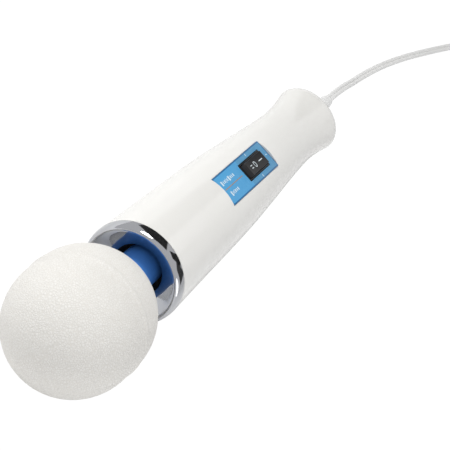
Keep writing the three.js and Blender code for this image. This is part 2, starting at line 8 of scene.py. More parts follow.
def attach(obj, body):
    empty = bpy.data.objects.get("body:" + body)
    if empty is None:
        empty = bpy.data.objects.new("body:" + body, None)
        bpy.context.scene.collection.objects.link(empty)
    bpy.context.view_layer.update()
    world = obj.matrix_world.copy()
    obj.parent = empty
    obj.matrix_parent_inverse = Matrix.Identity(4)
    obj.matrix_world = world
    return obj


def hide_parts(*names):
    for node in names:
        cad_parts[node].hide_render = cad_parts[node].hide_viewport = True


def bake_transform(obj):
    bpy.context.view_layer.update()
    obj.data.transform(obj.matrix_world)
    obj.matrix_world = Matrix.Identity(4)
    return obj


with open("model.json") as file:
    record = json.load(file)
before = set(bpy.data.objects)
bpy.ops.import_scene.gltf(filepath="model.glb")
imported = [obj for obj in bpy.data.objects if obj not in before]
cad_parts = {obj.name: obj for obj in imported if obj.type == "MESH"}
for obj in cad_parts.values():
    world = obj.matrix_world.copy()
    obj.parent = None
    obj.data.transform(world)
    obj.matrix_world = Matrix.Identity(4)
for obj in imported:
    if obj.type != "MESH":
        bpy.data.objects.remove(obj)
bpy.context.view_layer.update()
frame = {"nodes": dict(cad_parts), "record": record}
nodes = frame["nodes"]
joints = {joint["name"]: joint for joint in frame["record"]["behaviour"]["joints"]}
print("frame loaded")

mm = 0.001

# The wand is modelled along its own axis, x from the middle of the head to the tail, then laid down.
axis = Vector(joints["motor_spin"]["axis"])
tilt = math.atan2(-axis.z, axis.x)
headMiddle = Vector(joints["shaft_spin"]["pos_m"])
wandPlace = Matrix.Translation(headMiddle) @ Matrix.Rotation(tilt, 4, "Y")
panel = {"middle": 142, "height": 20.15, "slope": 3.06, "length": 58, "width": 16.4, "thick": 0.86}
panelPlace = (
    wandPlace
    @ Matrix.Translation((panel["middle"] * mm, 0, panel["height"] * mm))
    @ Matrix.Rotation(math.radians(panel["slope"]), 4, "Y")
)

# the camera in metres, its roll in degrees and its lens in millimetres
view = {"eye": (-0.6037, -0.0018, 0.5086), "aim": (0.78, -0.0136, -0.6257), "roll": 48.8, "lens": 127.0}


def setCamera():
    lens = bpy.data.cameras.new("camera")
    lens.lens = view["lens"]
    lens.sensor_width = 36
    lens.clip_start = 0.01
    camera = bpy.data.objects.new("camera", lens)
    bpy.context.scene.collection.objects.link(camera)
    turn = Vector(view["aim"]).to_track_quat("-Z", "Y").to_matrix().to_4x4()
    roll = Matrix.Rotation(math.radians(view["roll"]), 4, "Z")
    camera.matrix_world = Matrix.Translation(view["eye"]) @ turn @ roll
    bpy.context.scene.camera = camera
    bpy.context.scene.view_settings.view_transform = "Standard"


# places and sizes in metres, power in watts
lights = {
    "keySoftbox": {"at": (0.1, 0.8, 1.25), "size": 0.6, "power": 13.6, "tone": (1, 1, 0.995)},
    "sideFill": {"at": (-0.2, -1.3, 0.3), "size": 0.9, "power": 3.4, "tone": (1, 1, 1)},
}
skyTone = (0.985, 0.985, 1.0)
skyStrength = 0.67


def setLights():
    for name, facts in lights.items():
        lamp = bpy.data.lights.new(name, "AREA")
        lamp.shape = "DISK"
        lamp.size = facts["size"]
        lamp.energy = facts["power"]
        lamp.color = facts["tone"]
        holder = bpy.data.objects.new(name, lamp)
        bpy.context.scene.collection.objects.link(holder)
        at = Vector(facts["at"])
        holder.matrix_world = Matrix.Translation(at) @ (-at).to_track_quat("-Z", "Y").to_matrix().to_4x4()
    world = bpy.data.worlds.new("sky")
    bpy.context.scene.world = world
    world.use_nodes = True
    sky = world.node_tree.nodes["Background"]
    sky.inputs["Color"].default_value = (*skyTone, 1)
    sky.inputs["Strength"].default_value = skyStrength


setCamera()
setLights()
print("camera and lights set")


def tone(red, green, blue):
    # a colour as it is seen, 0 to 255, as the linear value that a shader wants
    return tuple((v / 255) ** 2.2 for v in (red, green, blue))


# a shader socket that can be used in sums
class Flow:
    def __init__(self, finish, socket):
        self.finish = finish
        self.socket = socket

    def sum(self, how, first, second):
        return self.finish.add("ShaderNodeMath", {"operation": how}, {0: first, 1: second})

    def __add__(self, other):
        return self.sum("ADD", self, other)

    def __sub__(self, other):
        return self.sum("SUBTRACT", self, other)

    def __rsub__(self, other):
        return self.sum("SUBTRACT", other, self)

    def __mul__(self, other):
        return self.sum("MULTIPLY", self, other)

    __radd__ = __add__
    __rmul__ = __mul__

    def above(self, edge):
        return self.sum("GREATER_THAN", self, edge)

    def size(self):
        return self.sum("ABSOLUTE", self, 0)

    def beside(self, output):
        # another output of the same node
        return Flow(self.finish, self.socket.node.outputs[output])


# one material, built on a Principled shader
class Finish:
    def __init__(self, name, **fixed):
        self.material = bpy.data.materials.new(name)
        self.material.use_nodes = True
        self.tree = self.material.node_tree
        self.tree.nodes.clear()
        self.shaded = self.add("ShaderNodeBsdfPrincipled")
        self.end = self.add("ShaderNodeOutputMaterial", None, {"Surface": self.shaded})
        self.set(**fixed)

    def feed(self, socket, value):
        if isinstance(value, Flow):
            self.tree.links.new(value.socket, socket)
        elif isinstance(value, tuple) and len(value) == 3 and socket.type == "RGBA":
            socket.default_value = (*value, 1)
        else:
            socket.default_value = value

    def add(self, kind, settings=None, inputs=None, output=0):
        node = self.tree.nodes.new(kind)
        for key, value in (settings or {}).items():
            if key == "stops":
                ramp = node.color_ramp
                while len(ramp.elements) < len(value):
                    ramp.elements.new(0.5)
                for element, (place, shade) in zip(ramp.elements, value):
                    element.position = place
                    element.color = (*shade, 1)
            else:
                setattr(node, key, value)
        for key, value in (inputs or {}).items():
            self.feed(node.inputs[key], value)
        return Flow(self, node.outputs[output]) if node.outputs else node

    def place(self):
        return self.add("ShaderNodeTexCoord", output="Object")

    def noise(self, scale, detail=3, rough=0.5, where=None):
        return self.add(
            "ShaderNodeTexNoise", None,
            {"Vector": where or self.place(), "Scale": scale, "Detail": detail, "Roughness": rough},
        )

    def cells(self, scale, where=None):
        return self.add(
            "ShaderNodeTexVoronoi", {"feature": "DISTANCE_TO_EDGE"},
            {"Vector": where or self.place(), "Scale": scale}, output="Distance",
        )

    def bands(self, way, scale, distortion):
        return self.add(
            "ShaderNodeTexWave", {"bands_direction": way},
            {"Vector": self.place(), "Scale": scale, "Distortion": distortion},
        )

    def blend(self, share, first, second):
        # sockets 6 and 7 are the two colours, and output 2 is their mixture
        return self.add("ShaderNodeMix", {"data_type": "RGBA"}, {0: share, 6: first, 7: second}, output=2)

    def ramp(self, value, stops):
        return self.add("ShaderNodeValToRGB", {"stops": stops}, {"Fac": value})

    def bump(self, height, strength, distance):
        raised = self.add(
            "ShaderNodeBump", None, {"Strength": strength, "Distance": distance, "Height": height},
        )
        self.set(Normal=raised)

    def set(self, **values):
        sockets = self.shaded.socket.node.inputs
        for name, value in values.items():
            self.feed(sockets[name.replace("_", " ")], value)


def moulded(name, light, dark, rough, wave=0.00002, grain=900, **fixed):
    # a moulded plastic: faint flow marks in colour and gloss, a slight ripple and a fine skin
    finish = Finish(name, **fixed)
    cloud = finish.noise(28, 2)
    fine = finish.noise(grain, 3, 0.6)
    finish.set(
        Base_Color=finish.blend(cloud, light, dark),
        Roughness=rough + (cloud - 0.5) * 0.06 + (fine - 0.5) * 0.05,
    )
    finish.bump(cloud * 0.5 + fine * 0.12, 0.35, wave)
    return finish.material


def vinyl():
    # a fine leather grain pressed into soft vinyl
    finish = Finish("headVinyl", Specular_IOR_Level=0.4, Sheen_Weight=0.1, Sheen_Roughness=0.5)
    where = finish.place()
    bend = finish.noise(240, 2, 0.5, where)
    stops = [(0.0, (0, 0, 0)), (0.16, (0.7, 0.7, 0.7)), (0.5, (1, 1, 1))]
    pebble = finish.ramp(finish.cells(950, where), stops)
    pores = finish.noise(2600, 2, 0.6, where)
    cloud = finish.noise(20, 3, 0.5, where)
    body = finish.blend(cloud, tone(243, 242, 238), tone(235, 233, 228))
    finish.set(Base_Color=finish.blend(pebble, tone(227, 224, 217), body), Roughness=0.5 + bend * 0.12)
    finish.bump(pebble * 0.7 + pores * 0.2 + bend * 0.9, 0.75, 0.00024)
    return finish.material


def polished(name, shade, rough):
    finish = Finish(name, Metallic=1.0)
    wipe = finish.noise(70, 4, 0.6)
    finish.set(
        Base_Color=finish.blend(wipe, shade, tuple(v * 0.93 for v in shade)),
        Roughness=rough + wipe * 0.04,
    )
    finish.bump(finish.noise(34, 2), 0.12, 0.00004)
    return finish.material


def brushed(name, shade, rough, stretch=(40, 900, 900)):
    finish = Finish(name, Metallic=1.0)
    lines = finish.noise(1, 3, 0.6, finish.add(
        "ShaderNodeMapping", {"vector_type": "POINT"}, {"Vector": finish.place(), "Scale": stretch},
    ))
    finish.set(
        Base_Color=finish.blend(lines, shade, tuple(v * 0.8 for v in shade)),
        Roughness=rough + (lines - 0.5) * 0.2,
    )
    finish.bump(lines, 0.25, 0.00003)
    return finish.material


def wound(name, shade):
    # enamelled wire laid side by side
    finish = Finish(name, Metallic=0.75)
    wires = finish.bands("DIAGONAL", 420, 1.2)
    finish.set(
        Base_Color=finish.blend(wires, tuple(v * 0.45 for v in shade), shade),
        Roughness=0.42 - wires * 0.14,
    )
    finish.bump(wires, 0.8, 0.0003)
    return finish.material


def stacked(name):
    # thin varnished laminations across the motor's axis
    finish = Finish(name, Metallic=0.6)
    sheets = finish.bands("X", 320, 0.2)
    varnish = finish.noise(150, 3)
    finish.set(
        Base_Color=finish.blend(sheets, tone(84, 80, 78), tone(122, 120, 118)),
        Roughness=0.45 + varnish * 0.2,
    )
    finish.bump(sheets + varnish * 0.3, 0.6, 0.0002)
    return finish.material


def labelPrint():
    # satin film: brighter towards the head, duller round the switch, and painted shade as a darker band at
    # its edge
    finish = Finish("panelBlue", Specular_IOR_Level=0.4)
    turnBack = panelPlace.inverted()
    where = finish.add("ShaderNodeMapping", {"vector_type": "POINT"}, {
        "Vector": finish.place(),
        "Location": tuple(turnBack.translation),
        "Rotation": tuple(turnBack.to_euler()),
    })
    along = finish.add("ShaderNodeSeparateXYZ", None, {"Vector": where})
    across = along.beside("Y")
    toneChange, edgeShadeWidth = -1.5, 0.7      # where the film turns duller, and how wide its dark edge is
    tailHalf = along.above(toneChange * mm)
    # these two masks hold the band of painted shade along the label's edge, beside the recess wall
    endEdge = along.size().above((panel["length"] / 2 - edgeShadeWidth) * mm)
    sideEdge = across.size().above((panel["width"] / 2 - edgeShadeWidth) * mm)
    cloud = finish.noise(60, 3)
    bright = finish.blend(cloud, tone(90, 168, 218), tone(82, 158, 210))
    dull = finish.blend(cloud, tone(92, 156, 198), tone(84, 148, 190))
    film = finish.blend(tailHalf, bright, dull)
    # the darkest blue here is that painted shade at the edge
    finish.set(
        Base_Color=finish.blend((endEdge + sideEdge).above(0.5), film, tone(52, 112, 162)),
        Roughness=0.36 + cloud * 0.1,
    )
    finish.bump(finish.noise(1400, 2), 0.1, 0.00003)
    return finish.material


# one finish for each material slot
finishes = {
    "handle_plastic": moulded(
        "handleWhite", tone(240, 239, 235), tone(236, 235, 230), 0.2, Coat_Weight=0.35, Coat_Roughness=0.08,
    ),
    "head_vinyl": vinyl(),
    "bezel_chrome": polished("bezelChrome", (0.55, 0.56, 0.58), 0.05),
    "neck_blue": moulded("neckBlue", tone(84, 144, 226), tone(74, 134, 218), 0.3, wave=0.00003),
    "panel_blue": labelPrint(),
    "switch_black": moulded(
        "switchBlack", tone(34, 34, 36), tone(26, 26, 28), 0.36, wave=0.00004, grain=1600,
    ),
    "plate_metal": brushed("plateMetal", tone(205, 206, 208), 0.35),
    "plain_steel": brushed("plainSteel", tone(188, 190, 194), 0.3),
    "laminated_steel": stacked("laminatedSteel"),
    "copper_wire": wound("copperWire", tone(196, 110, 62)),
    "brass_metal": brushed("brassMetal", tone(206, 176, 104), 0.3),
    "blade_brass": brushed("bladeBrass", tone(214, 196, 148), 0.24),
    "carbon_black": moulded("carbonBlack", tone(44, 44, 46), tone(34, 34, 36), 0.75, grain=2200),
    "board_green": moulded("boardGreen", tone(30, 110, 62), tone(24, 98, 54), 0.45),
    "inner_plastic": moulded("innerPlastic", tone(214, 211, 202), tone(204, 201, 190), 0.48),
    "mount_rubber": moulded("mountRubber", tone(52, 52, 54), tone(42, 42, 44), 0.8, grain=1500),
    "wire_rubber": moulded("wireRubber", tone(64, 64, 67), tone(54, 54, 57), 0.7),
    "lead_plastic": moulded(
        "leadPlastic", tone(240, 240, 238), tone(234, 234, 232), 0.34, wave=0.00001, grain=500,
    ),
    "tie_rubber": moulded("tieRubber", tone(44, 44, 46), tone(36, 36, 38), 0.65, grain=1800),
}
printWhite = moulded("printWhite", tone(226, 236, 240), tone(216, 228, 234), 0.45)
printPale = moulded("printPale", tone(214, 232, 242), tone(204, 224, 236), 0.45)
printOrange = moulded("printOrange", tone(168, 140, 118), tone(158, 130, 110), 0.45)
print("finishes mixed:", len(finishes))


def clearSelection():
    if bpy.context.mode != "OBJECT":
        bpy.ops.object.mode_set(mode="OBJECT")
    bpy.ops.object.select_all(action="DESELECT")


def takeUp(piece):
    clearSelection()
    piece.select_set(True)
    bpy.context.view_layer.objects.active = piece


def layDown(piece, place):
    # the piece's place goes into its mesh
    takeUp(piece)
    piece.matrix_world = place
    bpy.ops.object.transform_apply(location=True, rotation=True, scale=True)


def dress(piece, slot, body, *stoodFor, finish=None, angle=35):
    takeUp(piece)
    bpy.ops.object.shade_smooth_by_angle(angle=math.radians(angle))
    piece.data.materials.clear()
    piece.data.materials.append(finish or finishes[slot])
    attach(piece, body)
    if stoodFor:
        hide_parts(*stoodFor)


def startLine(name, first):
    # one vertex in edit mode, ready to be extruded
    clearSelection()
    bpy.ops.mesh.primitive_plane_add(size=mm)
    piece = bpy.context.object
    piece.name = piece.data.name = name
    bpy.ops.object.mode_set(mode="EDIT")
    bpy.ops.mesh.select_all(action="SELECT")
    bpy.ops.mesh.merge(type="CENTER")
    bpy.ops.transform.translate(value=first)
    return piece


def drawLine(name, points):
    piece = startLine(name, points[0])
    for last, here in zip(points, points[1:]):
        step = [b - a for a, b in zip(last, here)]
        bpy.ops.mesh.extrude_region_move(TRANSFORM_OT_translate={"value": step})
    bpy.ops.mesh.select_all(action="SELECT")
    return piece


def spinPiece(name, profile, steps):
    # a profile of (x, r) in millimetres, turned about the wand's axis
    onAxis = profile[0][1] == 0 and profile[-1][1] == 0
    loop = profile if onAxis else [*profile, profile[0]]
    piece = drawLine(name, [(x * mm, 0, r * mm) for x, r in loop])
    bpy.ops.mesh.spin(steps=steps, angle=2 * math.pi, center=(0, 0, 0), axis=(1, 0, 0))
    bpy.ops.mesh.select_all(action="SELECT")
    bpy.ops.mesh.remove_doubles(threshold=2e-6)
    bpy.ops.mesh.normals_make_consistent(inside=False)
    bpy.ops.object.mode_set(mode="OBJECT")
    return piece


def pushPiece(name, points, push, bevel=0.0, segments=3, sharp=25):
    # a flat outline in millimetres, pushed along a vector, its sharp edges rounded
    piece = drawLine(name, [tuple(v * mm for v in p) for p in points])
    bpy.ops.mesh.edge_face_add()
    bpy.ops.mesh.extrude_region_move(TRANSFORM_OT_translate={"value": tuple(v * mm for v in push)})
    bpy.ops.mesh.select_all(action="SELECT")
    bpy.ops.mesh.normals_make_consistent(inside=False)
    if bevel:
        roundEdges(bevel, segments, sharp)
    bpy.ops.object.mode_set(mode="OBJECT")
    return piece


def roundEdges(width, segments, sharp=25):
    bpy.ops.mesh.select_mode(type="EDGE")
    bpy.ops.mesh.select_all(action="DESELECT")
    bpy.ops.mesh.edges_select_sharp(sharpness=math.radians(sharp))
    bpy.ops.mesh.bevel(offset=width * mm, segments=segments, affect="EDGES", clamp_overlap=True)
    bpy.ops.mesh.select_mode(type="VERT")


def blockPiece(name, low, high, bevel=0.0, segments=3):
    clearSelection()
    middle = [(a + b) / 2 * mm for a, b in zip(low, high)]
    bpy.ops.mesh.primitive_cube_add(size=1, location=middle)
    piece = bpy.context.object
    piece.name = piece.data.name = name
    piece.scale = [(b - a) * mm for a, b in zip(low, high)]
    bpy.ops.object.transform_apply(location=True, rotation=True, scale=True)
    if bevel:
        bpy.ops.object.mode_set(mode="EDIT")
        roundEdges(bevel, segments)
        bpy.ops.object.mode_set(mode="OBJECT")
    return piece


def rodPiece(name, at, low, high, radius, sides=40):
    clearSelection()
    bpy.ops.mesh.primitive_cylinder_add(
        vertices=sides, radius=radius * mm, depth=(high - low) * mm,
        location=(at[0] * mm, at[1] * mm, (low + high) / 2 * mm),
    )
    piece = bpy.context.object
    piece.name = piece.data.name = name
    bpy.ops.object.transform_apply(location=True, rotation=True, scale=True)
    return piece


def carve(piece, cutter, how="DIFFERENCE"):
    takeUp(piece)
    change = piece.modifiers.new("carve", "BOOLEAN")
    change.operation = how
    change.object = cutter
    change.solver = "EXACT"
    bpy.ops.object.modifier_apply(modifier=change.name)
    bpy.data.objects.remove(cutter)


def joinPieces(first, *rest):
    takeUp(first)
    for piece in rest:
        piece.select_set(True)
    bpy.ops.object.join()
    return first


def arc(x, r, radius, start, end, steps):
    # points on a circle, its angles in degrees, kept on one side of the axis
    return [(x + u, max(0.0, r + v)) for u, v in polar(radius, start, end, steps)]


def eased(value, start, end):
    share = min(1.0, max(0.0, (value - start) / (end - start)))
    return share * share * (3 - 2 * share)


def curveThrough(points, per):
    # a smooth line through the points, with so many steps between each two
    line = []
    last = len(points) - 1
    for i in range(last):
        a, b, c, d = (Vector(points[min(max(k, 0), last)]) for k in (i - 1, i, i + 1, i + 2))
        for k in range(per):
            t = k / per
            bend, twist = 2 * a - 5 * b + 4 * c - d, 3 * b - a - 3 * c + d
            line.append(0.5 * (2 * b + (c - a) * t + bend * t**2 + twist * t**3))
    return [*line, Vector(points[-1])]


def polar(radius, start, end, steps):
    angles = [math.radians(start + (end - start) * i / steps) for i in range(steps + 1)]
    return [(radius * math.cos(a), radius * math.sin(a)) for a in angles]


def spread(start, end, count):
    return [start + (end - start) * i / (count - 1) for i in range(count)]


def smoothed(path, rounds):
    # eases the small corners where the stretches meet
    for _ in range(rounds):
        path = [path[0], *[(a + 2 * b + c) / 4 for a, b, c in zip(path, path[1:], path[2:])], path[-1]]
    return path


# the ball: two half spheres with a short belt between them, and a soft ridge round the belt
head = {
    "radius": 31, "belt": 5.1, "skin": 4, "beltPoint": -2.5, "mouthOuter": 14.2, "mouthInner": 13.1,
    "seam": 2.3, "seamHeight": 0.5, "seamWidth": 1.6, "sides": 144,
    "lip": [(32.3, 13.9), (32.55, 13.5), (32.3, 13.2), (31.4, 13.1)],
}


def angleAt(radius, r):
    return math.degrees(math.asin(r / radius))


def makeHead():
    outer, inner, belt = head["radius"], head["radius"] - head["skin"], head["belt"]
    seam = [
        (head["seam"] + head["seamWidth"] * k / 4, outer + head["seamHeight"] * math.cos(k * math.pi / 8))
        for k in range(-4, 5)
    ]
    profile = [
        *arc(-belt, 0, outer, 180, 90, 34), (head["beltPoint"], outer), *seam,
        *arc(belt, 0, outer, 90, angleAt(outer, head["mouthOuter"]), 26), *head["lip"],
        *arc(belt, 0, inner, angleAt(inner, head["mouthInner"]), 90, 12), *arc(-belt, 0, inner, 90, 180, 16),
    ]
    piece = spinPiece("headCap", profile, head["sides"])
    layDown(piece, wandPlace)
    dress(piece, "head_vinyl", "head", "head_cap", angle=60)


# the sleeve's two lengths: where each runs, the bodies it joins, and where the bend starts and ends
neck = {
    "radius": 9.7, "wall": 1.2, "mouth": 13, "flareStart": 32.2, "flareEnd": 38.4, "steps": 18, "sides": 96,
    "lengths": {
        "neckSleeveFront": {"span": (31.6, 44.5), "bodies": ("neck", "head"), "bend": (43.5, 33.5)},
        "neckSleeveRear": {"span": (44.5, 60.2), "bodies": ("handle", "neck"), "bend": (56, 45.5)},
    },
}


def neckRadius(x):
    flare = 1 - eased(x, neck["flareStart"], neck["flareEnd"])
    return neck["radius"] + (neck["mouth"] - neck["radius"]) * flare


def axisPoint(x):
    return tuple(wandPlace @ Vector((x * mm, 0, 0)))


def makeNeck():
    # a slim sleeve that flares into the head's mouth, in two lengths that meet between the joints
    for name, facts in neck["lengths"].items():
        outer = [(x, neckRadius(x)) for x in spread(*facts["span"], neck["steps"] + 1)]
        inner = [(x, r - neck["wall"]) for x, r in reversed(outer)]
        piece = spinPiece(name, [*outer, *inner], neck["sides"])
        layDown(piece, wandPlace)
        takeUp(piece)
        bpy.ops.object.shade_smooth_by_angle(angle=math.radians(35))
        piece.data.materials.append(finishes["neck_blue"])
        bendStart, bendEnd = facts["bend"]
        axisPoint(bendStart)
        axisPoint(bendEnd)
        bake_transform(piece)
        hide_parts("neck_boot")


# the collar's outline: over the rim, down the funnel to its lip, and back inside the handle
collar = {
    "profile": [
        (50.05, 24.9), (49, 24.88), (47.9, 24.78), (46.8, 24.6), (45.9, 24.35), (45.2, 24.05), (44.7, 23.7),
        (44.4, 23.3), (44.35, 22.95), (44.5, 22.5), (45.1, 21.5), (46.1, 20.1), (47.3, 18.6), (48.6, 16.95),
        (49.9, 15.35), (50.9, 14.15), (51.8, 13.1), (52.4, 12.55), (52.8, 12.4), (53.2, 12.45), (53.5, 12.7),
        (53.2, 13.6), (51.2, 17.6), (51.2, 20.3), (60, 20.3), (60, 21.7), (50.05, 21.7),
    ],
    "sides": 144,
}


def makeCollar():
    piece = spinPiece("chromeCollar", collar["profile"], collar["sides"])
    layDown(piece, wandPlace)
    dress(piece, "bezel_chrome", "handle", "front_bezel", angle=40)


makeHead()
makeNeck()
makeCollar()
print("head, neck and collar made")

# the casing, whose section turns oval towards the tail
handle = {
    "front": 50.3, "wall": 2.4, "seam": 0.06, "sides": 144,
    "outline": [
        (50, 24.9), (80, 23.95), (112, 23.1), (142, 22), (172, 20.1),
        (202, 18), (225, 17), (240, 17.75), (253, 19.5),
    ],
    "corner": 8, "squash": 0.76, "squashFrom": 150, "squashTo": 250, "tailFace": 262.2, "mouth": 6.3,
    "screws": [(128, 12.5), (128, -12.5), (214, 8.5), (214, -8.5)], "screwSeat": -7.2, "screwBore": 3.2,
    "recessLong": 0.25, "recessWide": 0.2, "recessDeep": 0.04,
    "holeLong": 12.9, "holeWide": 5.2, "holeDeep": 20,
    "plateBed": {"low": (141.7, -7.3, -40), "high": (184.3, 7.3, -17.9)},
}
rocker = {
    "middle": 10.3, "pivot": 3.5, "reach": 11.65, "width": 7.6, "tip": 2.2, "dip": 0.7,
    "footLong": 5, "footDeep": 3.4, "edge": 0.4,
}
clear = 12      # how far a cutter stands past the surface that it cuts


def sideLine(inwards):
    points = [(x, r - inwards, 0) for x, r in handle["outline"]]
    return [(max(p.x, handle["front"]), p.y) for p in curveThrough(points, 8)]


def flatten(piece):
    for vertex in piece.data.vertices:
        share = eased(vertex.co.x / mm, handle["squashFrom"], handle["squashTo"])
        vertex.co.z *= 1 - (1 - handle["squash"]) * share


def halfShell(tube, name, side):
    takeUp(tube)
    bpy.ops.object.duplicate()
    half = bpy.context.object
    half.name = half.data.name = name
    bpy.ops.object.mode_set(mode="EDIT")
    bpy.ops.mesh.select_all(action="SELECT")
    bpy.ops.mesh.bisect(
        plane_co=(0, 0, side * handle["seam"] * mm), plane_no=(0, 0, side), use_fill=True, clear_inner=True,
    )
    bpy.ops.mesh.select_all(action="SELECT")
    bpy.ops.mesh.normals_make_consistent(inside=False)
    bpy.ops.object.mode_set(mode="OBJECT")
    return half


def handleProfile():
    tailX, tailR = handle["outline"][-1]
    corner, wall, face, mouth = handle["corner"], handle["wall"], handle["tailFace"], handle["mouth"]
    return [
        *sideLine(0), *arc(tailX, tailR - corner, corner, 84, 8, 14),
        (face - 0.5, mouth + 0.5), (face - 0.6, mouth), (face - wall, mouth),
        *arc(tailX, tailR - corner, corner - wall, 8, 84, 8), *reversed(sideLine(wall)),
    ]


def openTop(top):
    # the label's shallow recess and the switch's hole
    panelInWand = wandPlace.inverted() @ panelPlace
    halfLong = panel["length"] / 2 + handle["recessLong"]
    halfWide = panel["width"] / 2 + handle["recessWide"]
    floor = -panel["thick"] - handle["recessDeep"]
    recess = blockPiece("recess", (-halfLong, -halfWide, floor), (halfLong, halfWide, clear))
    holeLong, holeWide, middle = handle["holeLong"], handle["holeWide"], rocker["middle"]
    hole = blockPiece(
        "hole", (middle - holeLong, -holeWide, -handle["holeDeep"]), (middle + holeLong, holeWide, clear),
    )
    for cutter in (recess, hole):
        layDown(cutter, panelInWand)
        carve(top, cutter)


def openBottom(bottom):
    # the blank plate's bed and the four screw wells
    bed = handle["plateBed"]
    carve(bottom, blockPiece("plateBed", bed["low"], bed["high"]))
    for place in handle["screws"]:
        carve(bottom, rodPiece("bore", place, -30, handle["screwSeat"], handle["screwBore"]))


def makeHandle():
    tube = spinPiece("handleTube", handleProfile(), handle["sides"])
    flatten(tube)
    top = halfShell(tube, "handleTopShell", 1)
    bottom = halfShell(tube, "handleBottomShell", -1)
    bpy.data.objects.remove(tube)
    openTop(top)
    openBottom(bottom)
    for piece, node in ((top, "handle_top_shell"), (bottom, "handle_bottom_shell")):
        layDown(piece, wandPlace)
        dress(piece, "handle_plastic", "handle", node, angle=30)


makeHandle()
print("handle made")

# the printed label with its window, and what is printed on it
label = {
    "windowLong": 12.8, "windowWide": 5.1, "edge": 0.12,
    # each row: its distance from the middle line, its start, then each stroke's length and width
    "rows": (
        (3.3, -25.4, (
            (1.6, 2.6), (0.9, 1.5), (1.2, 1.6), (0.5, 2.2), (1.1, 1.5),
            (1.9, 2.6), (1.1, 1.5), (0.9, 1.6), (1.3, 1.5),
        )),
        (-3.3, -24.2, ((1.5, 2.6), (0.8, 1.5), (0.5, 2.2), (1.2, 1.6), (0.9, 1.5), (1.1, 1.6))),
    ),
    "strokeShare": 0.78, "strokeGap": 0.55, "lift": 0.03, "sink": 0.02,
    "line": (-15.6, 0, 21, 0.45), "tick": (0.5, 1.5), "tickOut": 6.7, "endTick": (26.4, 0, 1.5, 0.5),
}


def makeLabel():
    halfLong, halfWide = panel["length"] / 2, panel["width"] / 2
    piece = blockPiece(
        "labelPlate", (-halfLong, -halfWide, -panel["thick"]), (halfLong, halfWide, 0), label["edge"], 2,
    )
    long, wide, middle = label["windowLong"], label["windowWide"], rocker["middle"]
    carve(piece, blockPiece("window", (middle - long, -wide, -3), (middle + long, wide, 3)))
    layDown(piece, panelPlace)
    dress(piece, "panel_blue", "handle", "label_plate")


def printed(name, bars, finish):
    # thin printed bars on the label, each (x, y, length, width)
    made = []
    for i, (x, y, long, wide) in enumerate(bars):
        low = (x - long / 2, y - wide / 2, -label["sink"])
        high = (x + long / 2, y + wide / 2, label["lift"])
        made.append(blockPiece(f"{name}{i}", low, high))
    piece = joinPieces(*made)
    piece.name = piece.data.name = name
    layDown(piece, panelPlace)
    dress(piece, "panel_blue", "handle", finish=finish)


def makePrint():
    # two generic rows of strokes, a thin line between them, and ticks at the switch
    strokes = []
    for side, x, row in label["rows"]:
        for long, wide in row:
            strokes.append((x + long / 2, side, long * label["strokeShare"], wide))
            x += long + label["strokeGap"]
    printed("labelStrokes", strokes, printPale)
    printed("labelLine", [label["line"]], printOrange)
    ticks = [(rocker["middle"], side * label["tickOut"], *label["tick"]) for side in (1, -1)]
    printed("labelTicks", [*ticks, label["endTick"]], printPale)


switchFrame = {
    "halfLong": 12.4, "halfWide": 4.8, "top": 0.15, "base": -14, "edge": 0.3,
    "pocketLong": 11.95, "pocketWide": 4.1, "pocketFloor": -9,
}


def blockAtRocker(name, halfLong, halfWide, low, high, edge=0.0):
    middle = rocker["middle"]
    return blockPiece(name, (middle - halfLong, -halfWide, low), (middle + halfLong, halfWide, high), edge)


def makeSwitch():
    facts = switchFrame
    body = blockAtRocker(
        "switchFrame", facts["halfLong"], facts["halfWide"], facts["base"], facts["top"], facts["edge"],
    )
    carve(body, blockAtRocker("pocket", facts["pocketLong"], facts["pocketWide"], facts["pocketFloor"], 3))
    layDown(body, panelPlace)
    dress(body, "switch_black", "handle", "switch_body")


def tipReach():
    return math.sqrt(rocker["reach"] ** 2 - (rocker["tip"] + rocker["pivot"]) ** 2)


def rockerTop(x):
    # height of the rocker's V-shaped top above the label
    return rocker["dip"] + (rocker["tip"] - rocker["dip"]) * abs(x) / tipReach()


def makeRocker():
    reach, pivot = rocker["reach"], rocker["pivot"]
    tipAngle = math.degrees(math.atan2(rocker["tip"] + pivot, tipReach()))
    foot, bottom = rocker["footLong"], -pivot - rocker["footDeep"]
    side = [(0, rocker["dip"]), (tipReach(), rocker["tip"])]
    side += [(x, z - pivot) for x, z in polar(reach, tipAngle - 4, -7, 6)]
    side += [(foot, bottom), (-foot, bottom)]
    side += [(x, z - pivot) for x, z in polar(reach, 187, 184 - tipAngle, 6)]
    side += [(-tipReach(), rocker["tip"])]
    points = [(rocker["middle"] + x, -rocker["width"] / 2, z) for x, z in side]
    piece = pushPiece("rockerButton", points, (0, rocker["width"], 0), rocker["edge"], 3, 40)
    layDown(piece, panelPlace)
    dress(piece, "switch_black", "rocker", "rocker_button")


# the marks on the rocker: one stroke, a ring and two strokes; each bar is (x, sideways places, half length)
marks = {
    "bars": ((5.6, (0,), 1.7), (-4.9, (-0.75, 0.75), 1.2)), "half": 0.24, "sink": 0.02, "lift": 0.05,
    "run": 10.2, "ring": 1.45, "ringLift": 0.06, "ringShare": 0.72,
}


